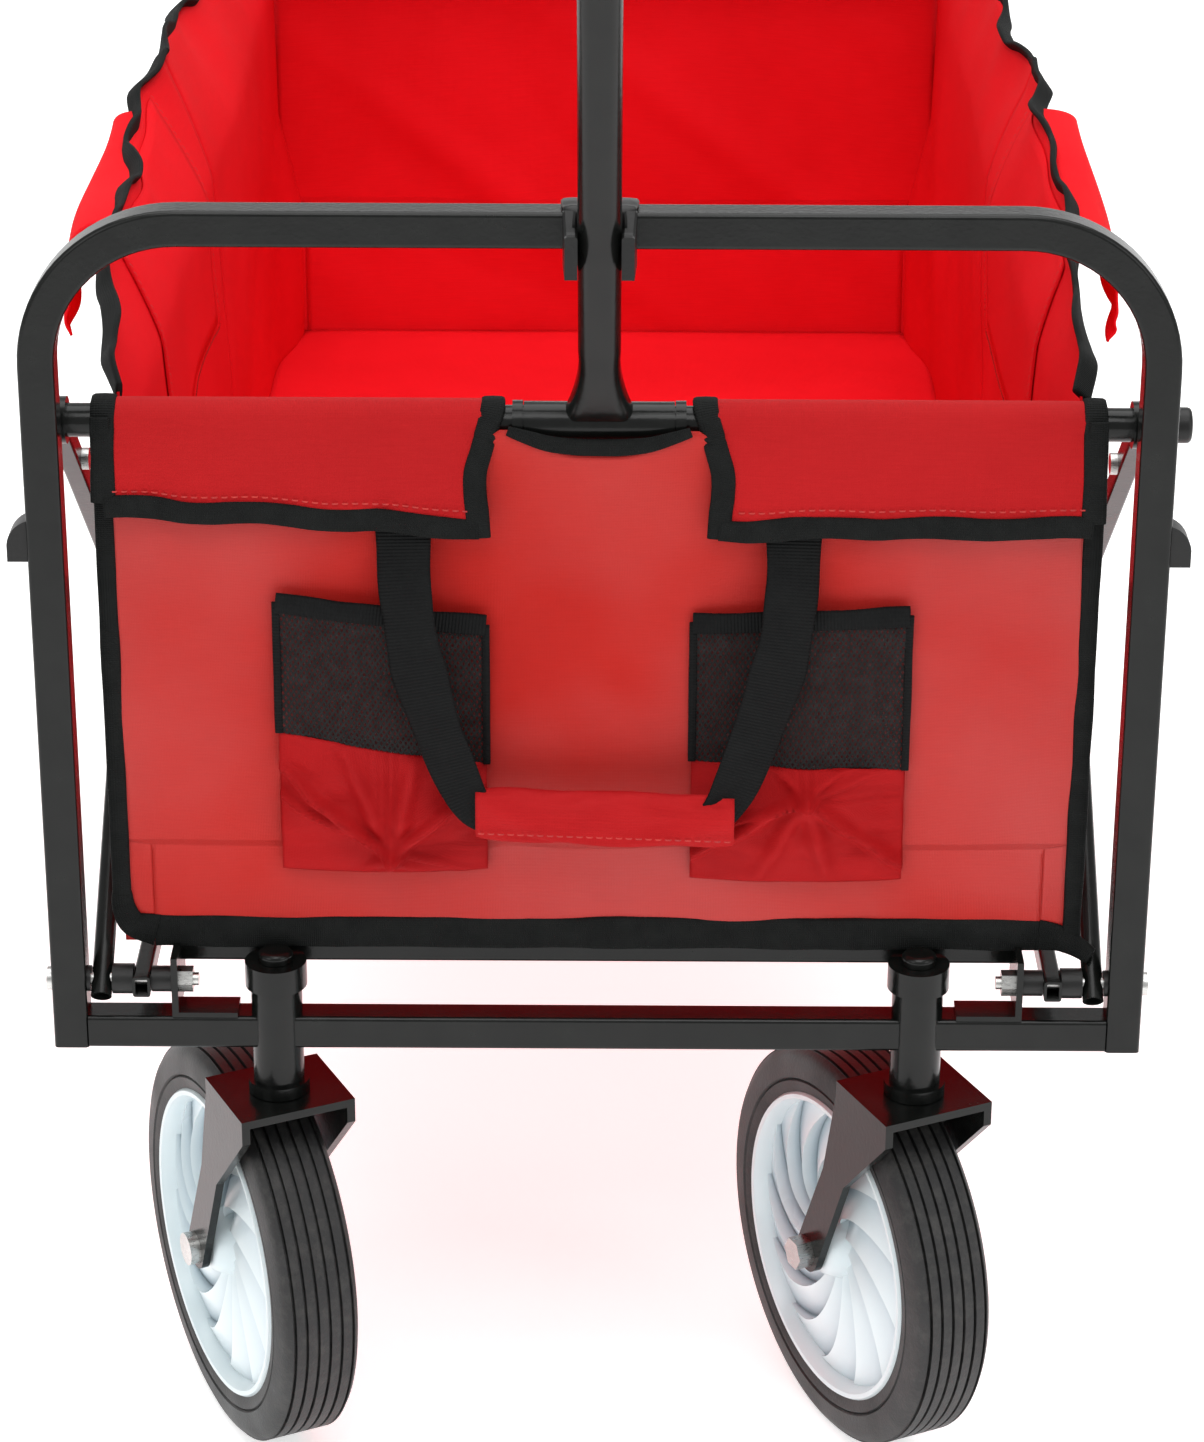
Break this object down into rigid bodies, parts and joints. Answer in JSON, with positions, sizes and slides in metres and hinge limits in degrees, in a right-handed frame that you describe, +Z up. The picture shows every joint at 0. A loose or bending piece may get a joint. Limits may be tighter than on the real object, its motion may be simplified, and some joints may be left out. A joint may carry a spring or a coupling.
{
  "type": "folding pull wagon",
  "caption": "Folding wagon with end arches, scissor braces, an open fabric bag, a hinged pull handle with a loop grip, swivel front wheels and fixed rear wheels.",
  "frame": {"origin": "on the ground, under the centre of the whole wagon with its handle in the clip", "axes": "+Y from the pull handle to the rear, +Z up, +X to the right when looking along +Y"},
  "size_m": [0.518, 1.2182, 0.9916],
  "materials": {
    "frame_paint": "gloss",
    "zinc_steel": "satin",
    "black_plastic": "matte",
    "rim_plastic": "gloss",
    "tyre_rubber": "matte",
    "bag_fabric": "matte",
    "webbing": "matte",
    "pocket_mesh": "matte",
    "grip_rubber": "matte"
  },
  "bodies": {
    "front_frame": {"front_arch": "frame_paint", "front_crossbar": "frame_paint", "front_floor_bar": "frame_paint", "front_pivot_brackets": "frame_paint", "front_pivot_bolts": "zinc_steel", "front_pivot_spacers": "black_plastic", "front_rail": "frame_paint", "rail_end_caps": "black_plastic", "leg_stops": "black_plastic", "handle_clip": "black_plastic", "caster_housings": "frame_paint", "bag_front": "bag_fabric", "rail_sleeves": "bag_fabric", "front_pockets": "pocket_mesh", "carry_strap": "webbing", "bag_side_left": "bag_fabric", "bag_side_right": "bag_fabric", "bag_floor": "bag_fabric"},
    "pull_handle": {"handle_sleeve": "frame_paint", "handle_tube": "frame_paint", "handle_grip": "grip_rubber"},
    "caster_left": {"fork_left": "frame_paint", "kingpin_left": "frame_paint", "caster_axle_left": "zinc_steel"},
    "caster_right": {"fork_right": "frame_paint", "kingpin_right": "frame_paint", "caster_axle_right": "zinc_steel"},
    "wheel_front_left": {"tyre_front_left": "tyre_rubber", "rim_front_left": "rim_plastic"},
    "wheel_front_right": {"tyre_front_right": "tyre_rubber", "rim_front_right": "rim_plastic"},
    "braces_rising_front": {"rising_brace_front": "frame_paint", "brace_rivets_front": "zinc_steel"},
    "braces_falling_front": {"falling_brace_front": "frame_paint"},
    "braces_falling_middle": {"falling_brace_middle": "frame_paint", "brace_rivets_falling": "zinc_steel"},
    "braces_rising_middle": {"rising_brace_middle": "frame_paint", "brace_rivets_rising": "zinc_steel"},
    "braces_rising_rear": {"rising_brace_rear": "frame_paint", "brace_rivets_rear": "zinc_steel"},
    "braces_falling_rear": {"falling_brace_rear": "frame_paint"},
    "struts_front": {"rail_strut_front": "frame_paint", "strut_bolts_front": "zinc_steel"},
    "struts_rear": {"rail_strut_rear": "frame_paint"},
    "floor_links_front": {"floor_link_front": "frame_paint"},
    "floor_links_rear": {"floor_link_rear": "frame_paint"},
    "rear_frame": {"rear_arch": "frame_paint", "rear_crossbar": "frame_paint", "rear_floor_bar": "frame_paint", "rear_pivot_brackets": "frame_paint", "rear_pivot_bolts": "zinc_steel", "rear_pivot_spacers": "black_plastic", "rear_rail": "frame_paint", "rear_wheel_forks": "frame_paint", "rear_axles": "zinc_steel", "bag_rear": "bag_fabric"},
    "wheel_rear_left": {"tyre_rear_left": "tyre_rubber", "rim_rear_left": "rim_plastic"},
    "wheel_rear_right": {"tyre_rear_right": "tyre_rubber", "rim_rear_right": "rim_plastic"}
  },
  "joints": [
    {"name": "fold", "type": "hinge", "parent": "front_frame", "child": "braces_rising_front", "pos_m": [0, -0.3949, 0.26], "axis": [1, 0, 0], "range_deg": [0, 38], "deforming": ["bag_side_left", "bag_side_right", "bag_floor"]},
    {"name": "fold_falling_front", "type": "hinge", "parent": "braces_rising_front", "child": "braces_falling_front", "pos_m": [0, -0.2439, 0.3805], "axis": [1, 0, 0], "range_deg": [-76.5, 0]},
    {"name": "fold_falling_middle", "type": "hinge", "parent": "braces_rising_front", "child": "braces_falling_middle", "pos_m": [0, -0.0929, 0.501], "axis": [1, 0, 0], "range_deg": [-76.5, 0]},
    {"name": "fold_rising_middle", "type": "hinge", "parent": "braces_falling_middle", "child": "braces_rising_middle", "pos_m": [0, 0.0581, 0.3805], "axis": [1, 0, 0], "range_deg": [0, 76.5]},
    {"name": "fold_rising_rear", "type": "hinge", "parent": "braces_falling_middle", "child": "braces_rising_rear", "pos_m": [0, 0.2091, 0.26], "axis": [1, 0, 0], "range_deg": [0, 76.5]},
    {"name": "fold_falling_rear", "type": "hinge", "parent": "braces_rising_rear", "child": "braces_falling_rear", "pos_m": [0, 0.3601, 0.3805], "axis": [1, 0, 0], "range_deg": [-76.5, 0]},
    {"name": "fold_rear_frame", "type": "hinge", "parent": "braces_falling_rear", "child": "rear_frame", "pos_m": [0, 0.5111, 0.26], "axis": [1, 0, 0], "range_deg": [0, 38.5]},
    {"name": "fold_strut_front", "type": "hinge", "parent": "front_frame", "child": "struts_front", "pos_m": [0, -0.3754, 0.525], "axis": [1, 0, 0], "range_deg": [-51.91, 0]},
    {"name": "fold_strut_rear", "type": "hinge", "parent": "rear_frame", "child": "struts_rear", "pos_m": [0, 0.4916, 0.525], "axis": [1, 0, 0], "range_deg": [0, 51.91]},
    {"name": "fold_floor_front", "type": "hinge", "parent": "front_frame", "child": "floor_links_front", "pos_m": [0, -0.3949, 0.26], "axis": [1, 0, 0], "range_deg": [0, 73.38]},
    {"name": "fold_floor_rear", "type": "hinge", "parent": "rear_frame", "child": "floor_links_rear", "pos_m": [0, 0.5111, 0.26], "axis": [1, 0, 0], "range_deg": [-73.38, 0]},
    {"name": "handle_swing", "type": "hinge", "parent": "front_frame", "child": "pull_handle", "pos_m": [0, -0.3754, 0.525], "axis": [1, 0, 0], "range_deg": [0, 75]},
    {"name": "caster_swivel_left", "type": "hinge", "parent": "front_frame", "child": "caster_left", "pos_m": [-0.1475, -0.3949, 0.2], "axis": [0, 0, 1], "continuous": true},
    {"name": "wheel_spin_front_left", "type": "hinge", "parent": "caster_left", "child": "wheel_front_left", "pos_m": [-0.16817, -0.35158, 0.098], "axis": [0.9026, 0.4305, 0], "continuous": true},
    {"name": "caster_swivel_right", "type": "hinge", "parent": "front_frame", "child": "caster_right", "pos_m": [0.1475, -0.3949, 0.2], "axis": [0, 0, 1], "continuous": true},
    {"name": "wheel_spin_front_right", "type": "hinge", "parent": "caster_right", "child": "wheel_front_right", "pos_m": [0.12684, -0.35158, 0.098], "axis": [0.9026, 0.4305, 0], "continuous": true},
    {"name": "wheel_spin_rear_left", "type": "hinge", "parent": "rear_frame", "child": "wheel_rear_left", "pos_m": [-0.206, 0.5111, 0.098], "axis": [1, 0, 0], "continuous": true},
    {"name": "wheel_spin_rear_right", "type": "hinge", "parent": "rear_frame", "child": "wheel_rear_right", "pos_m": [0.206, 0.5111, 0.098], "axis": [1, 0, 0], "continuous": true}
  ],
  "couplings": [
    {"joint": "fold_falling_front", "follows": "fold", "ratio": -2},
    {"joint": "fold_falling_middle", "follows": "fold", "ratio": -2},
    {"joint": "fold_rising_middle", "follows": "fold", "ratio": 2},
    {"joint": "fold_rising_rear", "follows": "fold", "ratio": 2},
    {"joint": "fold_falling_rear", "follows": "fold", "ratio": -2},
    {"joint": "fold_rear_frame", "follows": "fold", "ratio": 1},
    {"joint": "fold_strut_front", "follows": "fold", "ratio": -1.353},
    {"joint": "fold_strut_rear", "follows": "fold", "ratio": 1.353},
    {"joint": "fold_floor_front", "follows": "fold", "ratio": 1.918},
    {"joint": "fold_floor_rear", "follows": "fold", "ratio": -1.918}
  ]
}
